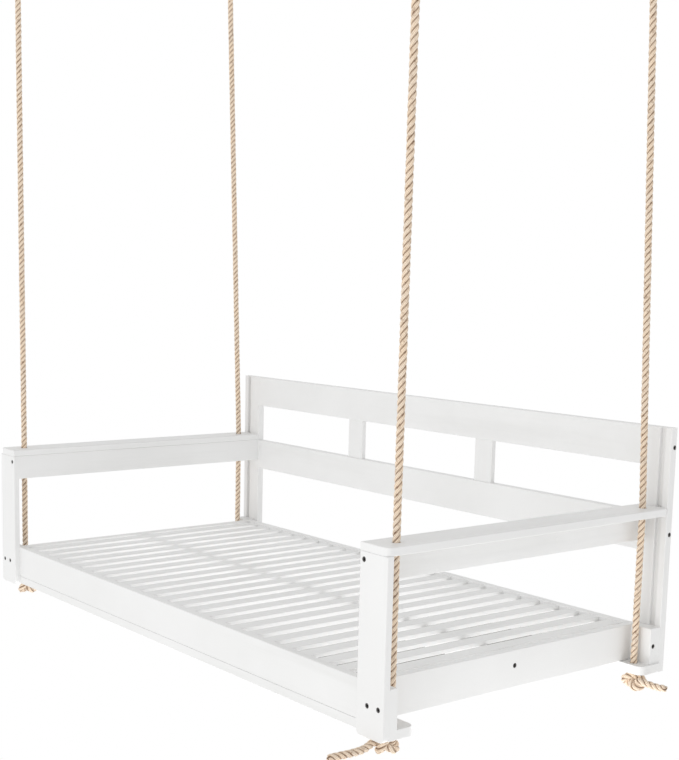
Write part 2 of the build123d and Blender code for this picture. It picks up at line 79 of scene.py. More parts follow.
# which way each tail points, in degrees from +X, and how far it reaches from the rope
TAILS = {
    "front_left": (90.0, 0.124),
    "front_right": (-90.0, 0.199),
    "back_left": (180.0, 0.119),
    "back_right": (0.0, 0.119),
}
LOWER_TOP = 0.0122      # top of a lower rope, below the armrest's top
UPPER_END = 0.0085      # an upper rope's end, below the armrest's top
EYE_CENTRE = -0.1014    # thimble, below the staple's bar
EYE_RADIUS = 0.0303     # the rope's middle round the thimble
EYE_TOUCH = (0.0285, -0.1116)
THROAT = -0.1914
SPLICE_END = -0.2894
CORD_TOP = -0.2020      # where the eye takes over from the taut rope
KNOT_SPREAD = 0.0105    # half the pitch of the knot's turns in its own plane
KNOT_DEPTH = 0.0125     # how far its turns pass in front of each other
KNOT_SHIFT = (0.007, -0.003)
LONG_TAIL = 0.130       # a long tail, from the side of its knot
LONG_REACH = 0.15       # a tail that reaches further than this is a long one
KNOT_DROP = 0.0208      # the knot's middle, below its bearer
KNOT_CUT = (0.765, -0.60)   # where the knot's turns are cut open, in half turns

# ---- strands ----------------------------------------------------------------------------
STRAND_SHARE = 0.268    # a strand's radius, as a share of the rope's diameter
ROPE_REACH = 0.522      # the strands' outer faces, as a share of the rope's diameter
STRAND_SPREAD = 1.06    # strands pressed against each other are this much wider than deep
NEXT_ROPE = 1.9         # each rope's strands start this much further round, in radians
LOWER_START = 2.6       # and a lower rope's this much further than its upper rope's
TUCK_LAY = 1.15         # a tucked strand's lay, as a share of the rope's
TUCK_SHARE = 0.225      # its radius before it grows thin, as a share of the rope's diameter
TUCK_PITCH = 0.0295     # metres from one dip under a strand to the next

# ---- camera and light, in metres and degrees unless a line says otherwise ---------------
CAMERA_PLACE = (3.39979, -2.54626, -1.35509)
CAMERA_TURN = (0.89755, 0.14649, 0.02279)   # to the left of +Y, down, and over, in radians
CAMERA_LENS = 63.095                        # millimetres, on a sensor 36 mm long
CAMERA_SHIFT = (0.01622, 0.12400)
FRONT_LIGHT_SIZE = (4.0, 3.0)
FRONT_LIGHT_PLACE = (1.5, -5.1, -1.45)
FRONT_LIGHT_TURN = (84, 0, 13)
UNDER_LIGHT_SPARE = 0.3     # how much longer it is than the slats
UNDER_LIGHT_X = 0.3
UNDER_LIGHT_LEVEL = 0.8     # share of the way from the bearers down to the floor
FLOOR_RADIUS = 60.0
FLOOR_SIDES = 96

# ---- boards, by the way their grain runs ------------------------------------------------
BOARDS_ALONG_X = ("front_rail", "back_rail", "centre_rail", "front_ledger", "back_ledger",
                  "front_bearer", "back_bearer", "back_top_rail", "back_mid_rail")
BOARDS_ALONG_Y = ("end_rail_left", "end_rail_right", "slats", "armrest_left", "armrest_right",
                  "apron_left", "apron_right")
BOARDS_ALONG_Z = ("front_post_left", "front_post_right", "back_post_left", "back_post_right",
                  "spindles", "front_blocks", "back_blocks", "apron_plugs")


# ---- what a user would change -----------------------------------------------------------
class RopeSettings(bpy.types.PropertyGroup):
    """Laid rope."""

    diameter: FloatProperty(
        name="Diameter", description="Across the three strands", default=0.020, unit="LENGTH")
    lay: FloatProperty(
        name="Lay", description="One full turn of a strand", default=0.056, unit="LENGTH")
    sides: IntProperty(
        name="Sides", description="Corners round each strand", default=14, min=8, max=32)
    yarns: IntProperty(
        name="Yarns", description="Yarns that show round each strand", default=9, min=3)
    crown: FloatVectorProperty(
        name="Crown", description="Strand's outer face", subtype="COLOR", size=3,
        default=(1.0, 0.86, 0.70))
    # groove is painted shade: the colour each strand darkens to as it turns into the groove between
    # strands
    groove: FloatVectorProperty(
        name="Groove", description="Between the strands", subtype="COLOR", size=3,
        default=(0.27, 0.155, 0.085))


class PaintSettings(bpy.types.PropertyGroup):
    """White paint on the boards."""

    colour: FloatVectorProperty(
        name="Paint", description="Fresh coat", subtype="COLOR", size=3,
        default=(0.84, 0.84, 0.835))
    shade: FloatVectorProperty(
        name="Shade", description="Where the coat lies thin in the grain", subtype="COLOR",
        size=3, default=(0.765, 0.765, 0.755))


class MetalSettings(bpy.types.PropertyGroup):
    """Zinc plate and blackened bolts."""

    zinc: FloatVectorProperty(
        name="Zinc", description="Bright zinc plate", subtype="COLOR", size=3,
        default=(0.66, 0.67, 0.69))
    bolt: FloatVectorProperty(
        name="Bolt", description="Blackened bolt head", subtype="COLOR", size=3,
        default=(0.055, 0.052, 0.050))


class StageSettings(bpy.types.PropertyGroup):
    """Camera, light and floor."""

    floor_drop: FloatProperty(
        name="Clear height", description="Bearers down to the floor", default=0.40,
        unit="LENGTH")
    front_light: FloatProperty(
        name="Front light", description="Soft light from the front", default=50.0,
        unit="POWER")
    under_light: FloatProperty(
        name="Light below", description="Light thrown back up by the floor", default=7.6,
        unit="POWER")
    horizon: FloatProperty(
        name="Horizon", description="Brightness of the room round the seat", default=0.90)
    zenith: FloatProperty(
        name="Zenith", description="Brightness of the room overhead", default=0.76)


class SwingSettings(bpy.types.PropertyGroup):
    """Everything above, in one place."""

    rope: PointerProperty(type=RopeSettings)
    paint: PointerProperty(type=PaintSettings)
    metal: PointerProperty(type=MetalSettings)
    stage: PointerProperty(type=StageSettings)


# ---- lines and frames -------------------------------------------------------------------
def spline_line(points, gap):
    """Points gap apart along the smooth curve that these control points guide.

    The curve is a quadratic spline held at its two ends. Its own points are spread again so
    that the length between neighbours is even.
    """
    curve = bpy.data.curves.new("route", "CURVE")
    curve.dimensions = "3D"
    curve.resolution_u = 24
    spline = curve.splines.new("NURBS")
    spline.points.add(len(points) - 1)
    spline.points.foreach_set("co", np.c_[np.array(points), np.ones(len(points))].ravel())
    spline.order_u = 3
    spline.use_endpoint_u = True
    holder = bpy.data.objects.new("route", curve)
    mesh = bpy.data.meshes.new_from_object(holder)
    dense = np.empty(len(mesh.vertices) * 3)
    mesh.vertices.foreach_get("co", dense)
    dense = dense.reshape(-1, 3)
    bpy.data.objects.remove(holder)
    bpy.data.curves.remove(curve)
    bpy.data.meshes.remove(mesh)
    length = np.r_[0, np.cumsum(np.linalg.norm(np.diff(dense, axis=0), axis=1))]
    spots = np.linspace(0, length[-1], max(3, round(length[-1] / gap) + 1))
    return np.stack([np.interp(spots, length, dense[:, k]) for k in range(3)], axis=1)


def distances(line):
    """Length along the line at each of its points."""
    return np.r_[0, np.cumsum(np.linalg.norm(np.diff(line, axis=0), axis=1))]


def unit(vectors):
    """The same directions, one long."""
    return vectors / np.linalg.norm(vectors, axis=-1, keepdims=True)


def steady_frames(line):
    """Tangent and two normals at each point, which don't twist about the line.

    A pair of normals is first taken square to a fixed direction. The angle by which that pair
    turns about the line from one point to the next is summed and taken out again.
    """
    tangent = unit(np.gradient(line, axis=0))
    first = unit(np.cross(tangent, (0.36, 0.87, 0.33)))
    second = np.cross(tangent, first)
    carried = first[:-1] - (first[:-1] * tangent[1:]).sum(1, keepdims=True) * tangent[1:]
    turn = np.arctan2((carried * second[1:]).sum(1), (carried * first[1:]).sum(1))
    spin = np.r_[0, np.cumsum(turn)][:, None]
    return (tangent, np.cos(spin) * first + np.sin(spin) * second,
            np.cos(spin) * second - np.sin(spin) * first)


# ---- meshes -----------------------------------------------------------------------------
def tubes_mesh(name, rings, along, crown):
    """A mesh of closed tubes from rings[point, tube, corner, xyz].

    Each tube is a grid of quads with a flat face at each end. The UV map holds the share of
    the way round and the length along, and the attribute crown holds crown[corner].
    """
    points, tubes, sides, _ = rings.shape
    vertices = rings.transpose(1, 0, 2, 3).reshape(-1, 3)
    row = np.arange(points - 1)[:, None] * sides
    corner = np.arange(sides)[None, :]
    following = (corner + 1) % sides
    quads = np.stack(
        [row + corner, row + following, row + sides + following, row + sides + corner], axis=-1
    ).reshape(-1, 4)
    start_cap = np.arange(sides)[::-1]
    end_cap = (points - 1) * sides + np.arange(sides)
    per_tube = np.r_[quads.ravel(), start_cap, end_cap]
    totals = np.r_[np.full(len(quads), 4), sides, sides]
    loops = (per_tube[None, :] + np.arange(tubes)[:, None] * points * sides).ravel()
    totals = np.tile(totals, tubes)
    mesh = bpy.data.meshes.new(name)
    mesh.vertices.add(len(vertices))
    mesh.vertices.foreach_set("co", vertices.ravel())
    mesh.loops.add(len(loops))
    mesh.loops.foreach_set("vertex_index", loops)
    mesh.polygons.add(len(totals))
    mesh.polygons.foreach_set("loop_start", np.r_[0, np.cumsum(totals)[:-1]])
    mesh.polygons.foreach_set("use_smooth", totals == 4)
    mesh.update(calc_edges=True)
    share = np.broadcast_to((corner / sides)[..., None], (points - 1, sides, 1))
    across = np.concatenate([share, share + 1 / sides, share + 1 / sides, share], axis=2)
    reach = np.broadcast_to(along[:, None, None], (points, sides, 1))
    up = np.concatenate([reach[:-1], reach[:-1], reach[1:], reach[1:]], axis=2)
    quad_uv = np.stack([across, up], axis=-1).reshape(-1, 2)
    cap_uv = np.stack([np.arange(sides) / sides, np.zeros(sides)], axis=1)
    uv = np.tile(np.r_[quad_uv, cap_uv, cap_uv], (tubes, 1))
    mesh.uv_layers.new(name="UVMap").data.foreach_set("uv", uv.ravel())
    attribute = mesh.attributes.new("crown", "FLOAT", "POINT")
    attribute.data.foreach_set("value", np.tile(crown, tubes * points).astype(np.float32))
    return mesh


def place(name, mesh, material, body):
    """An object for the mesh, with its material, riding on the body."""
    piece = bpy.data.objects.new(name, mesh)
    bpy.context.scene.collection.objects.link(piece)
    mesh.materials.append(material)
    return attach(piece, body)


def strand_rings(line, frames, angle, core, strand_r, sides):
    """Rings of strands wound round a line, as [point, strand, corner, xyz].

    A strand's middle stands core from the line, at angle[point, strand] round it. Its ring is
    a circle of strand_r square to the strand's own run, counted from its outermost point.
    """
    _, first, second = frames
    cosine, sine = np.cos(angle)[..., None], np.sin(angle)[..., None]
    outward = cosine * first[:, None] + sine * second[:, None]
    middle = line[:, None] + core[..., None] * outward
    run = unit(np.gradient(middle, axis=0))
    outward = unit(outward - (outward * run).sum(-1, keepdims=True) * run)
    sideways = np.cross(run, outward)
    around = (np.arange(sides) / sides * 2 * math.pi)[:, None]
    ring = (np.cos(around) * outward[:, :, None]
            + STRAND_SPREAD * np.sin(around) * sideways[:, :, None])
    return middle[:, :, None] + strand_r[..., None, None] * ring


def rounded_ends(length, start, end, radius):
    """1 along the rope, falling as a quarter circle to a small value at the ends asked for."""
    share = np.ones_like(length)
    if start:
        share = share * np.sqrt(np.clip(1 - (1 - length / radius).clip(0) ** 2, 0.02, 1))
    if end:
        left = length[-1] - length
        share = share * np.sqrt(np.clip(1 - (1 - left / radius).clip(0) ** 2, 0.02, 1))
    return share


def laid_rope_mesh(name, line, frames, turned, rope, start=False, end=False):
    """Three strands laid round the line. turned is each point's angle of the first strand.

    Strand radius and the strands' distance from the line fill the rope's diameter, with the
    strands pressed a little into each other.
    """
    strand_r = rope.diameter * STRAND_SHARE
    core = rope.diameter * ROPE_REACH - strand_r
    length = distances(line)
    share = rounded_ends(length, start, end, strand_r * 1.2)[:, None]
    angle = turned[:, None] + np.arange(3) * 2 * math.pi / 3
    # hand-made rope: each strand swells and thins a little along its length
    wobble = 1 + 0.035 * np.sin(length[:, None] * 71 + np.arange(3) * 2.3)
    rings = strand_rings(line, frames, angle, core * share ** 0.5 * np.ones((1, 3)),
                         strand_r * share * wobble, rope.sides)
    # crown: 1 on a strand's outer face, falling round it; the rope material paints groove shade by
    # it
    crown = np.cos(np.arange(rope.sides) / rope.sides * 2 * math.pi)
    stretch = math.hypot(1, 2 * math.pi * core / rope.lay)     # a strand's run, per metre
    return tubes_mesh(name, rings, length * stretch / (2 * math.pi * strand_r), crown)


# ---- shader groups ----------------------------------------------------------------------
def new_group(name, inputs, outputs):
    """An empty shader group with these sockets, each (name, kind)."""
    tree = bpy.data.node_groups.new(name, "ShaderNodeTree")
    for socket, kind in inputs:
        tree.interface.new_socket(socket, in_out="INPUT", socket_type=kind)
    for socket, kind in outputs:
        tree.interface.new_socket(socket, in_out="OUTPUT", socket_type=kind)
    return tree, tree.nodes.new("NodeGroupInput"), tree.nodes.new("NodeGroupOutput")


def noise(tree, vector, scale, detail, rough=0.5):
    """A noise texture's factor output."""
    node = tree.nodes.new("ShaderNodeTexNoise")
    node.inputs["Scale"].default_value = scale
    node.inputs["Detail"].default_value = detail
    node.inputs["Roughness"].default_value = rough
    tree.links.new(vector, node.inputs["Vector"])
    return node.outputs[0]


def spread(tree, value, low, high, to_low, to_high):
    """The value carried from low..high to to_low..to_high."""
    node = tree.nodes.new("ShaderNodeMapRange")
    for socket, number in zip(("From Min", "From Max", "To Min", "To Max"),
                              (low, high, to_low, to_high)):
        node.inputs[socket].default_value = number
    tree.links.new(value, node.inputs["Value"])
    return node.outputs["Result"]


def mixed(tree, factor, first, second):
    """Colours first and second mixed by a factor. A colour is a socket or three numbers."""
    node = tree.nodes.new("ShaderNodeMix")
    node.data_type = "RGBA"
    tree.links.new(factor, node.inputs["Factor"])
    for socket, colour in zip((node.inputs[6], node.inputs[7]), (first, second)):
        if isinstance(colour, bpy.types.NodeSocket):
            tree.links.new(colour, socket)
        else:
            socket.default_value = (*colour, 1)
    return node.outputs[2]


def maths(tree, operation, *values):
    """One Math node. A value is a socket or a number."""
    node = tree.nodes.new("ShaderNodeMath")
    node.operation = operation
    for socket, value in zip(node.inputs, values):
        if isinstance(value, bpy.types.NodeSocket):
            tree.links.new(value, socket)
        else:
            socket.default_value = value
    return node.outputs[0]


def bumped(tree, height, strength, distance, normal=None):
    """A Bump node's normal."""
    node = tree.nodes.new("ShaderNodeBump")
    node.inputs["Strength"].default_value = strength
    node.inputs["Distance"].default_value = distance
    tree.links.new(height, node.inputs["Height"])
    if normal is not None:
        tree.links.new(normal, node.inputs["Normal"])
    return node.outputs["Normal"]


def paint_group():
    """Brushed paint over planed softwood: tone, sheen and grain along the first axis."""
    tree, given, made = new_group(
        "brushed paint",
        (("Grain Vector", "NodeSocketVector"), ("Vector", "NodeSocketVector"),
         ("Paint", "NodeSocketColor"), ("Shade", "NodeSocketColor")),
        (("Color", "NodeSocketColor"), ("Roughness", "NodeSocketFloat"),
         ("Normal", "NodeSocketVector")),
    )
    growth = noise(tree, given.outputs["Grain Vector"], scale=9.0, detail=5.0, rough=0.62)
    pores = noise(tree, given.outputs["Grain Vector"], scale=46.0, detail=4.0, rough=0.7)
    cloud = noise(tree, given.outputs["Vector"], scale=3.2, detail=3.0)
    peel = noise(tree, given.outputs["Vector"], scale=420.0, detail=2.0)
    lines = spread(tree, growth, 0.54, 0.70, 0.0, 0.55)
    broad = spread(tree, cloud, 0.35, 0.70, 0.0, 0.45)
    factor = maths(tree, "ADD", lines, broad)
    colour = mixed(tree, factor, given.outputs["Paint"], given.outputs["Shade"])
    tree.links.new(colour, made.inputs["Color"])
    tree.links.new(spread(tree, pores, 0.3, 0.7, 0.36, 0.50), made.inputs["Roughness"])
    grain = maths(tree, "ADD", spread(tree, growth, 0.3, 0.7, 0.0, 1.0),
                  spread(tree, pores, 0.3, 0.7, 0.0, 0.5))
    normal = bumped(tree, grain, strength=0.30, distance=0.00022)
    normal = bumped(tree, peel, strength=0.12, distance=0.00012, normal=normal)
    tree.links.new(normal, made.inputs["Normal"])
    return tree


def metal_group():
    """Plated steel: cloudy tone, rubbed sheen and fine pits."""
    tree, given, made = new_group(
        "plated steel",
        (("Vector", "NodeSocketVector"), ("Plate", "NodeSocketColor"),
         ("Dull", "NodeSocketColor")),
        (("Color", "NodeSocketColor"), ("Roughness", "NodeSocketFloat"),
         ("Normal", "NodeSocketVector")),
    )
    cloud = noise(tree, given.outputs["Vector"], scale=70.0, detail=4.0)
    pits = noise(tree, given.outputs["Vector"], scale=900.0, detail=3.0, rough=0.7)
    factor = spread(tree, cloud, 0.42, 0.66, 0.0, 1.0)
    colour = mixed(tree, factor, given.outputs["Plate"], given.outputs["Dull"])
    tree.links.new(colour, made.inputs["Color"])
    tree.links.new(spread(tree, cloud, 0.3, 0.7, 0.26, 0.48), made.inputs["Roughness"])
    normal = bumped(tree, pits, strength=0.25, distance=0.0002)
    tree.links.new(normal, made.inputs["Normal"])
    return tree


# ---- materials --------------------------------------------------------------------------
def new_material(name, metallic=0.0, sheen=0.0):
    """A material with its shader, its output, and an Object coordinates socket."""
    material = bpy.data.materials.new(name)
    material.use_nodes = True
    tree = material.node_tree
    shader = tree.nodes["Principled BSDF"]
    shader.inputs["Metallic"].default_value = metallic
    shader.inputs["Sheen Weight"].default_value = sheen
    where = tree.nodes.new("ShaderNodeTexCoord").outputs["Object"]
    return material, tree, shader, where


def painted(name, stretch, paint, group):
    """White paint whose grain runs along the axis with the small stretch value."""
    material, tree, shader, where = new_material(name)
    turn = tree.nodes.new("ShaderNodeMapping")
    turn.inputs["Scale"].default_value = stretch
    tree.links.new(where, turn.inputs["Vector"])
    coat = tree.nodes.new("ShaderNodeGroup")
    coat.node_tree = group
    coat.inputs["Paint"].default_value = (*paint.colour, 1)
    coat.inputs["Shade"].default_value = (*paint.shade, 1)
    tree.links.new(turn.outputs["Vector"], coat.inputs["Grain Vector"])
    tree.links.new(where, coat.inputs["Vector"])
    tree.links.new(coat.outputs["Color"], shader.inputs["Base Color"])
    tree.links.new(coat.outputs["Roughness"], shader.inputs["Roughness"])
    tree.links.new(coat.outputs["Normal"], shader.inputs["Normal"])
    shader.inputs["Specular IOR Level"].default_value = 0.42
    return material


def plated(name, plate, dull, group):
    """Plated or blackened steel."""
    material, tree, shader, where = new_material(name, metallic=0.9)
    coat = tree.nodes.new("ShaderNodeGroup")
    coat.node_tree = group
    coat.inputs["Plate"].default_value = (*plate, 1)
    coat.inputs["Dull"].default_value = (*dull, 1)
    tree.links.new(where, coat.inputs["Vector"])
    for socket in ("Roughness", "Normal"):
        tree.links.new(coat.outputs[socket], shader.inputs[socket])
    tree.links.new(coat.outputs["Color"], shader.inputs["Base Color"])
    return material


def rope_material(rope):
    """Laid rope: pale crowns, painted shade in the grooves and yarns along the rope.

    The yarns are a sine wave over the UV map, slanted back against the strands' own lay, with
    painted shade between them, and the painted groove shade follows the attribute crown.
    """
    material, tree, shader, where = new_material("laid_rope", sheen=0.25)
    uv = tree.nodes.new("ShaderNodeUVMap")
    uv.uv_map = "UVMap"
    split = tree.nodes.new("ShaderNodeSeparateXYZ")
    tree.links.new(uv.outputs["UV"], split.inputs["Vector"])
    slant = maths(tree, "MULTIPLY_ADD", split.outputs["Y"], 0.30, split.outputs["X"])
    wave = maths(tree, "SINE", maths(tree, "MULTIPLY", slant, 2 * math.pi * rope.yarns))
    yarn = spread(tree, wave, -1.0, 0.6, 0.0, 1.0)
    crown = tree.nodes.new("ShaderNodeAttribute")
    crown.attribute_name = "crown"
    # painted shade: towards the groove colour as the strand's face turns into the groove
    groove_shade_and_wear = spread(tree, crown.outputs["Fac"], 0.02, 0.72, 0.0, 1.0)
    fibres = tree.nodes.new("ShaderNodeCombineXYZ")
    tree.links.new(maths(tree, "MULTIPLY", slant, 60.0), fibres.inputs["X"])
    tree.links.new(maths(tree, "MULTIPLY", split.outputs["Y"], 1.6), fibres.inputs["Y"])
    hair = noise(tree, fibres.outputs["Vector"], scale=3.0, detail=4.0, rough=0.65)
    patch = noise(tree, where, scale=26.0, detail=3.0)
    tint = mixed(tree, spread(tree, patch, 0.35, 0.68, 0.0, 1.0), rope.crown,
                 [c * f for c, f in zip(rope.crown, (1.06, 0.985, 0.90))])
    tint = mixed(tree, spread(tree, hair, 0.35, 0.72, 0.0, 0.60), tint,
                 [c * 0.72 for c in rope.crown])
    # painted shade between the yarns, darker where the yarn wave is low
    tint = mixed(tree, spread(tree, yarn, 0.0, 0.65, 0.80, 0.0), tint,
                 [c * f for c, f in zip(rope.crown, (0.58, 0.50, 0.44))])
    # random worn patches take the crowns part way to the groove colour
    worn = noise(tree, where, scale=95.0, detail=2.0)
    groove_shade_and_wear = maths(tree, "SUBTRACT", groove_shade_and_wear, spread(tree, worn, 0.56, 0.74, 0.0, 0.55))
    colour = mixed(tree, spread(tree, groove_shade_and_wear, 0.0, 1.0, 0.0, 1.0), rope.groove, tint)
    tree.links.new(colour, shader.inputs["Base Color"])
    tree.links.new(spread(tree, hair, 0.2, 0.8, 0.62, 0.86), shader.inputs["Roughness"])
    height = maths(tree, "ADD", yarn, spread(tree, hair, 0.2, 0.8, 0.0, 0.5))
    normal = bumped(tree, height, strength=0.75, distance=0.0006)
    tree.links.new(normal, shader.inputs["Normal"])
    shader.inputs["Specular IOR Level"].default_value = 0.30
    return material


def finish_node(node, material):
    """Gives a part this material in every slot."""
    slots = frame["nodes"][node].data.materials
    if not slots:
        slots.append(material)
    for index in range(len(slots)):
        slots[index] = material


# ---- pieces -----------------------------------------------------------------------------
class SWING_OT_stage(bpy.types.Operator):
    """Camera, soft room light, one broad front light and a plain white floor."""

    bl_idname = "porch_swing.stage"
    bl_label = "Stage"

    def execute(self, context):
        values = context.scene.porch_swing.stage
        context.scene.view_settings.view_transform = "Standard"
        self.camera(context)
        self.room(context, values)
        light = bpy.data.lights.new("front_light", "AREA")
        light.shape = "RECTANGLE"
        light.size, light.size_y = FRONT_LIGHT_SIZE
        light.energy = values.front_light
        lamp = bpy.data.objects.new("front_light", light)
        lamp.location = FRONT_LIGHT_PLACE
        lamp.rotation_euler = [math.radians(angle) for angle in FRONT_LIGHT_TURN]
        lamp.visible_camera = False
        context.scene.collection.objects.link(lamp)
        self.under_light(context, values)
        self.floor(context, values)
        self.shade(context)
        return {"FINISHED"}

    def under_light(self, context, values):
        """A broad light that shines up through the slats, as a pale floor would."""
        low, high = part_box("slats")
        light = bpy.data.lights.new("under_light", "AREA")
        light.shape = "RECTANGLE"
        light.size, light.size_y = high.x - low.x + UNDER_LIGHT_SPARE, high.y - low.y
        light.energy = values.under_light
        lamp = bpy.data.objects.new("under_light", light)
        lamp.location = (UNDER_LIGHT_X, (low.y + high.y) / 2,
                         BEARER_UNDER - values.floor_drop * UNDER_LIGHT_LEVEL)
        lamp.rotation_euler = (math.pi, 0, 0)
        lamp.visible_camera = False
        context.scene.collection.objects.link(lamp)

    def shade(self, context):
        """The darkness under the slats: a card that shows only from above, and lights nothing."""
        low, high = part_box("slats")
        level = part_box("front_rail")[0].z
        corners = [(low.x, low.y), (high.x, low.y), (high.x, high.y), (low.x, high.y)]
        mesh = bpy.data.meshes.new("shade")
        mesh.from_pydata([(x, y, level) for x, y in corners], [], [(0, 1, 2, 3)])
        material = bpy.data.materials.new("shade_under_slats")
        material.use_nodes = True
        tree = material.node_tree
        tree.nodes.clear()
        dark = tree.nodes.new("ShaderNodeEmission")
        dark.inputs["Color"].default_value = (0.20, 0.195, 0.19, 1)
        choose = tree.nodes.new("ShaderNodeMixShader")
        tree.links.new(tree.nodes.new("ShaderNodeNewGeometry").outputs["Backfacing"],
                       choose.inputs["Fac"])
        tree.links.new(dark.outputs[0], choose.inputs[1])
        tree.links.new(tree.nodes.new("ShaderNodeBsdfTransparent").outputs[0],
                       choose.inputs[2])
        out = tree.nodes.new("ShaderNodeOutputMaterial")
        tree.links.new(choose.outputs[0], out.inputs["Surface"])
        mesh.materials.append(material)
        card = bpy.data.objects.new("shade", mesh)
        for kind in ("diffuse", "glossy", "transmission", "volume_scatter", "shadow"):
            setattr(card, f"visible_{kind}", False)
        context.scene.collection.objects.link(card)
        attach(card, "seat")

    def camera(self, context):
        """A fixed camera. Its frame is turned, dipped and rolled from looking along +Y."""
        turn, dip, roll = CAMERA_TURN
        data = bpy.data.cameras.new("camera")
        data.lens = CAMERA_LENS
        data.sensor_width = 36.0
        data.shift_x, data.shift_y = CAMERA_SHIFT
        camera = bpy.data.objects.new("camera", data)
        ahead = Vector((-math.sin(turn) * math.cos(dip), math.cos(turn) * math.cos(dip),
                        -math.sin(dip)))
        right = Vector((math.cos(turn), math.sin(turn), 0))
        upward = right.cross(ahead)
        across = math.cos(roll) * right + math.sin(roll) * upward
        above = math.cos(roll) * upward - math.sin(roll) * right
        facing = Matrix((across, above, -ahead)).transposed().to_4x4()
        facing.translation = Vector(CAMERA_PLACE)
        camera.matrix_world = facing
        context.scene.collection.objects.link(camera)
        context.scene.camera = camera

    def room(self, context, values):
        """A white room, a little weaker overhead and on the seat's right."""
        world = bpy.data.worlds.new("room")
        context.scene.world = world
        world.use_nodes = True
        tree = world.node_tree
        tree.nodes.clear()
        height = tree.nodes.new("ShaderNodeSeparateXYZ")
        tree.links.new(tree.nodes.new("ShaderNodeTexCoord").outputs["Generated"],
                       height.inputs["Vector"])
        level = spread(tree, height.outputs["Z"], 0.0, 0.85, values.horizon, values.zenith)
        level = maths(tree, "MULTIPLY", level, spread(tree, height.outputs["X"], -1, 1, 1.08, 0.90))
        seen, lit = (tree.nodes.new("ShaderNodeBackground") for _ in range(2))
        tree.links.new(level, lit.inputs["Strength"])
        choose = tree.nodes.new("ShaderNodeMixShader")
        tree.links.new(tree.nodes.new("ShaderNodeLightPath").outputs["Is Camera Ray"],
                       choose.inputs["Fac"])
        tree.links.new(lit.outputs[0], choose.inputs[1])
        tree.links.new(seen.outputs[0], choose.inputs[2])
        out = tree.nodes.new("ShaderNodeOutputWorld")
        for background in (seen, lit):
            background.inputs["Color"].default_value = (1, 1, 1, 1)
        tree.links.new(choose.outputs[0], out.inputs["Surface"])

    def floor(self, context, values):
        """A wide disc that gives back the white of the room."""
        around = np.linspace(0, 2 * math.pi, FLOOR_SIDES, endpoint=False)
        level = BEARER_UNDER - values.floor_drop
        rim = np.stack([FLOOR_RADIUS * np.cos(around), FLOOR_RADIUS * np.sin(around),
                        np.full(FLOOR_SIDES, level)], axis=1)
        mesh = bpy.data.meshes.new("floor")
        mesh.from_pydata(rim.tolist(), [], [list(range(FLOOR_SIDES))])
        material, _, shader, _ = new_material("white_floor")
        shader.inputs["Base Color"].default_value = (0, 0, 0, 1)
        shader.inputs["Specular IOR Level"].default_value = 0.0
        shader.inputs["Emission Color"].default_value = (1, 1, 1, 1)
        shader.inputs["Emission Strength"].default_value = 1.0
        mesh.materials.append(material)
        floor = bpy.data.objects.new("floor", mesh)
        context.scene.collection.objects.link(floor)


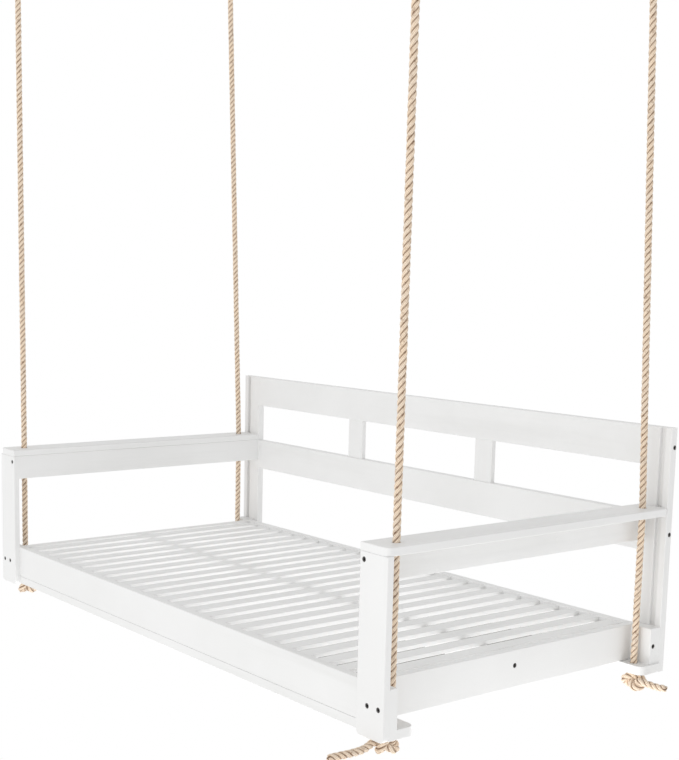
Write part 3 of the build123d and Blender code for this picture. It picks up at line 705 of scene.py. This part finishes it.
class SWING_OT_upper_ropes(bpy.types.Operator):
    """The four taut ropes, each with its eye round a thimble and its strands tucked back."""

    bl_idname = "porch_swing.upper_ropes"
    bl_label = "Upper ropes"

    def execute(self, context):
        rope = context.scene.porch_swing.rope
        material = rope_material(rope)
        for number, corner in enumerate(CORNERS):
            hang = hanging_frame(corner)
            height = (BARS[corner] - HOLES[corner]).length
            line = spline_line([tuple(hang @ Vector((x, 0, z)))
                                for x, z in self.route(height + UPPER_END)], 0.0028)
            frames = steady_frames(line)
            length = distances(line)
            turned = length * 2 * math.pi / rope.lay + number * NEXT_ROPE
            taut = height + UPPER_END + CORD_TOP
            split = int(np.searchsorted(length, taut))
            low = [part[:split + 1] for part in (line, *frames, turned)]
            high = [part[split:] for part in (line, *frames, turned)]
            name = f"upper_rope_{corner}_laid"
            mesh = laid_rope_mesh(name, low[0], low[1:4], low[4], rope, start=True)
            cord = place(name, mesh, material, f"hanger_{corner}")
            name = f"rope_eye_{corner}_laid"
            mesh = laid_rope_mesh(name, high[0], high[1:4], high[4], rope, end=True)
            eye = place(name, mesh, material, f"hanger_{corner}")
            name = f"splice_{corner}"
            tucks = place(name, self.tucks(hang, rope, name), material, f"hanger_{corner}")
            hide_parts(f"upper_rope_{corner}")
            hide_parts(f"rope_eye_{corner}")
        return {"FINISHED"}

    def route(self, low):
        """From the armrest up to the throat, one leg, over the thimble and down the other."""
        touch_x, touch_z = EYE_TOUCH
        wide = EYE_RADIUS / 0.925       # the curve runs inside the points that guide it
        over = [(wide * math.cos(a), EYE_CENTRE + wide * math.sin(a))
                for a in np.radians((22.5, 67.5, 112.5, 157.5))]
        halfway = (touch_x / 2, (touch_z + THROAT) / 2)
        return [(0, -low), (0, -low / 2), (0, THROAT - 0.080), (0.001, THROAT - 0.030),
                (0.003, THROAT + 0.004), halfway, (touch_x, touch_z), *over,
                (-touch_x, touch_z), (-halfway[0], halfway[1]), (-0.006, THROAT + 0.006),
                (-0.007, THROAT - 0.018)]

    def tucks(self, hang, rope, name):
        """Three strands wound into the grooves, dipping under every other strand.

        Their distance from the middle swings between the groove's floor and the rope's
        outside, and they grow thin towards the end of the splice.
        """
        ends = [Vector((0, 0, THROAT + 0.006)), Vector((0, 0, (THROAT + SPLICE_END) / 2)),
                Vector((0, 0, SPLICE_END + 0.004))]
        line = spline_line([tuple(hang @ p) for p in ends], 0.0016)
        frames = steady_frames(line)
        length = distances(line)
        share = (length / length[-1])[:, None]
        strand = np.arange(3)
        angle = (-length[:, None] * 2 * math.pi / (rope.lay * TUCK_LAY)
                 + strand * 2 * math.pi / 3)
        thin = rope.diameter * TUCK_SHARE * (1 - 0.55 * share ** 1.5)
        thin = thin * rounded_ends(length, True, True, 0.006)[:, None] * np.ones((1, 3))
        dips = 0.5 + 0.5 * np.cos(length[:, None] * 2 * math.pi / TUCK_PITCH + strand * 2.1)
        core = rope.diameter * (0.30 + 0.13 * dips) * (1 - 0.12 * share)
        rings = strand_rings(line, frames, angle, core, thin, rope.sides)
        # crown: 1 on a strand's outer face, falling round it; the rope material paints groove shade
        # by it
        crown = np.cos(np.arange(rope.sides) / rope.sides * 2 * math.pi)
        girth = 2 * math.pi * rope.diameter * TUCK_SHARE
        return tubes_mesh(name, rings, length * TUCK_LAY / girth, crown)


def hanging_frame(corner):
    """The matrix that carries Z along a corner's rope, measured up from its staple's bar."""
    upward = (BARS[corner] - HOLES[corner]).normalized()
    sideways = Vector((1, 0, 0))
    sideways = (sideways - sideways.dot(upward) * upward).normalized()
    facing = Matrix((sideways, upward.cross(sideways), upward)).transposed().to_4x4()
    facing.translation = BARS[corner]
    return facing


class SWING_OT_lower_ropes(bpy.types.Operator):
    """The ropes below the armrests, each tied under its bearer in an overhand stopper knot."""

    bl_idname = "porch_swing.lower_ropes"
    bl_label = "Lower ropes and knots"

    def execute(self, context):
        rope = context.scene.porch_swing.rope
        material = bpy.data.materials["laid_rope"]
        for number, corner in enumerate(CORNERS):
            top = ARM_TOP - LOWER_TOP
            line = spline_line(self.route(corner, top), 0.0024)
            frames = steady_frames(line)
            length = distances(line)
            turned = length * 2 * math.pi / rope.lay + number * NEXT_ROPE + LOWER_START
            under = int(np.searchsorted(length, top - BEARER_UNDER))
            straight = [part[:under + 1] for part in (line, *frames, turned)]
            mesh = laid_rope_mesh(f"lower_rope_{corner}_laid", straight[0], straight[1:4],
                                  straight[4], rope, start=True)
            cord = place(mesh.name, mesh, material, "seat")
            ends = [("knot", under, len(line))]
            if TAILS[corner][1] > LONG_REACH:
                left = int(np.searchsorted(length, length[-1] - LONG_TAIL))
                ends = [("knot", under, left + 1), ("tail", left, len(line))]
            for kind, first, last in ends:
                part = [given[first:last] for given in (line, *frames, turned)]
                name = f"{kind}_{corner}_tied"
                mesh = laid_rope_mesh(name, part[0], part[1:4], part[4], rope,
                                      end=last == len(line))
                place(name, mesh, material, "seat")
            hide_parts(f"lower_rope_{corner}")
            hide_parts(f"knot_{corner}")
        return {"FINISHED"}

    def route(self, corner, top):
        """Straight down through the bearer, round the knot, and out along the tail.

        The knot's turns are a trefoil cut open at the top: across = sin t + 2 sin 2t, down =
        cos t - 2 cos 2t and aside = sin 3t, with t from one cut end to the other.
        """
        heading, reach = TAILS[corner]
        t = np.linspace(KNOT_CUT[0] * math.pi, KNOT_CUT[1] * math.pi, 21)
        across = KNOT_SPREAD * (np.sin(t) + 2 * np.sin(2 * t)) + KNOT_SHIFT[0]
        sink = -KNOT_DROP - KNOT_SPREAD * (np.cos(t) - 2 * np.cos(2 * t))
        aside = KNOT_DEPTH * np.sin(3 * t) + KNOT_SHIFT[1]
        height = top - BEARER_UNDER
        down = [(0, 0, height), (0, 0, height * 0.7), (0, 0, height * 0.4),
                (0, 0, height * 0.15), (0, 0, 0.030), (0, 0, 0.010), (-0.001, 0.001, 0.000)]
        tail = [(0.0245, -0.0085, -0.0235), (0.0370, -0.0150, -0.0195),
                (0.0520, -0.0125, -0.0205), (0.0720, -0.0050, -0.0240),
                (0.0960, -0.0005, -0.0260), (reach, 0.0015, -0.0225)]
        if reach > LONG_REACH:
            tail.insert(5, (0.1350, 0.0020, -0.0255))
        shape = np.array(down + list(zip(across, aside, sink)) + tail)
        swing = math.radians(heading)
        x = HOLES[corner].x + shape[:, 0] * math.cos(swing) - shape[:, 1] * math.sin(swing)
        y = HOLES[corner].y + shape[:, 0] * math.sin(swing) + shape[:, 1] * math.cos(swing)
        return [tuple(p) for p in np.stack([x, y, shape[:, 2] + BEARER_UNDER], axis=1)]


class SWING_OT_boards(bpy.types.Operator):
    """White paint on every board, with its grain along the board."""

    bl_idname = "porch_swing.boards"
    bl_label = "Painted boards"

    def execute(self, context):
        paint = context.scene.porch_swing.paint
        group = paint_group()
        fine, long = 1.0, 0.07
        for boards, name, stretch in (
            (BOARDS_ALONG_X, "paint_along_x", (long, fine, fine)),
            (BOARDS_ALONG_Y, "paint_along_y", (fine, long, fine)),
            (BOARDS_ALONG_Z, "paint_along_z", (fine, fine, long)),
        ):
            material = painted(name, stretch, paint, group)
            for node in boards:
                finish_node(node, material)
        return {"FINISHED"}


class SWING_OT_metal(bpy.types.Operator):
    """Blackened bolts in the boards; zinc eye plates, links, sleeves and thimbles above."""

    bl_idname = "porch_swing.metal"
    bl_label = "Bolts and ceiling fittings"

    def execute(self, context):
        metal = context.scene.porch_swing.metal
        group = metal_group()
        zinc = plated("bright_zinc", metal.zinc, [c * 0.72 for c in metal.zinc], group)
        black = plated("black_bolt", metal.bolt, [c * 2.2 for c in metal.bolt], group)
        for node in ("short_bolts", "medium_bolts", "long_bolts"):
            finish_node(node, black)
        finish_node("eye_plates", zinc)
        for corner in CORNERS:
            for kind in ("link", "link_sleeve", "thimble"):
                finish_node(f"{kind}_{corner}", zinc)
        return {"FINISHED"}


class SWING_PT_panel(bpy.types.Panel):
    """Sizes, colours and one button for each group of pieces."""

    bl_idname = "SWING_PT_panel"
    bl_label = "Porch Swing"
    bl_space_type = "VIEW_3D"
    bl_region_type = "UI"
    bl_category = "Porch Swing"

    def draw(self, context):
        settings = context.scene.porch_swing
        for group in (settings.rope, settings.paint, settings.metal, settings.stage):
            box = self.layout.box()
            for name in group.__annotations__:
                box.prop(group, name)
        for operator in OPERATORS:
            self.layout.operator(operator.bl_idname)


OPERATORS = (SWING_OT_stage, SWING_OT_upper_ropes, SWING_OT_lower_ropes, SWING_OT_boards,
             SWING_OT_metal)
CLASSES = (RopeSettings, PaintSettings, MetalSettings, StageSettings, SwingSettings,
           *OPERATORS, SWING_PT_panel)


def register():
    for cls in CLASSES:
        bpy.utils.register_class(cls)
    bpy.types.Scene.porch_swing = PointerProperty(type=SwingSettings)


def unregister():
    del bpy.types.Scene.porch_swing
    for cls in reversed(CLASSES):
        bpy.utils.unregister_class(cls)


def main():
    """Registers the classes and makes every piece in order."""
    register()
    bpy.ops.porch_swing.stage()
    bpy.ops.porch_swing.upper_ropes()
    bpy.ops.porch_swing.lower_ropes()
    bpy.ops.porch_swing.boards()
    bpy.ops.porch_swing.metal()


if __name__ == "__main__":
    main()
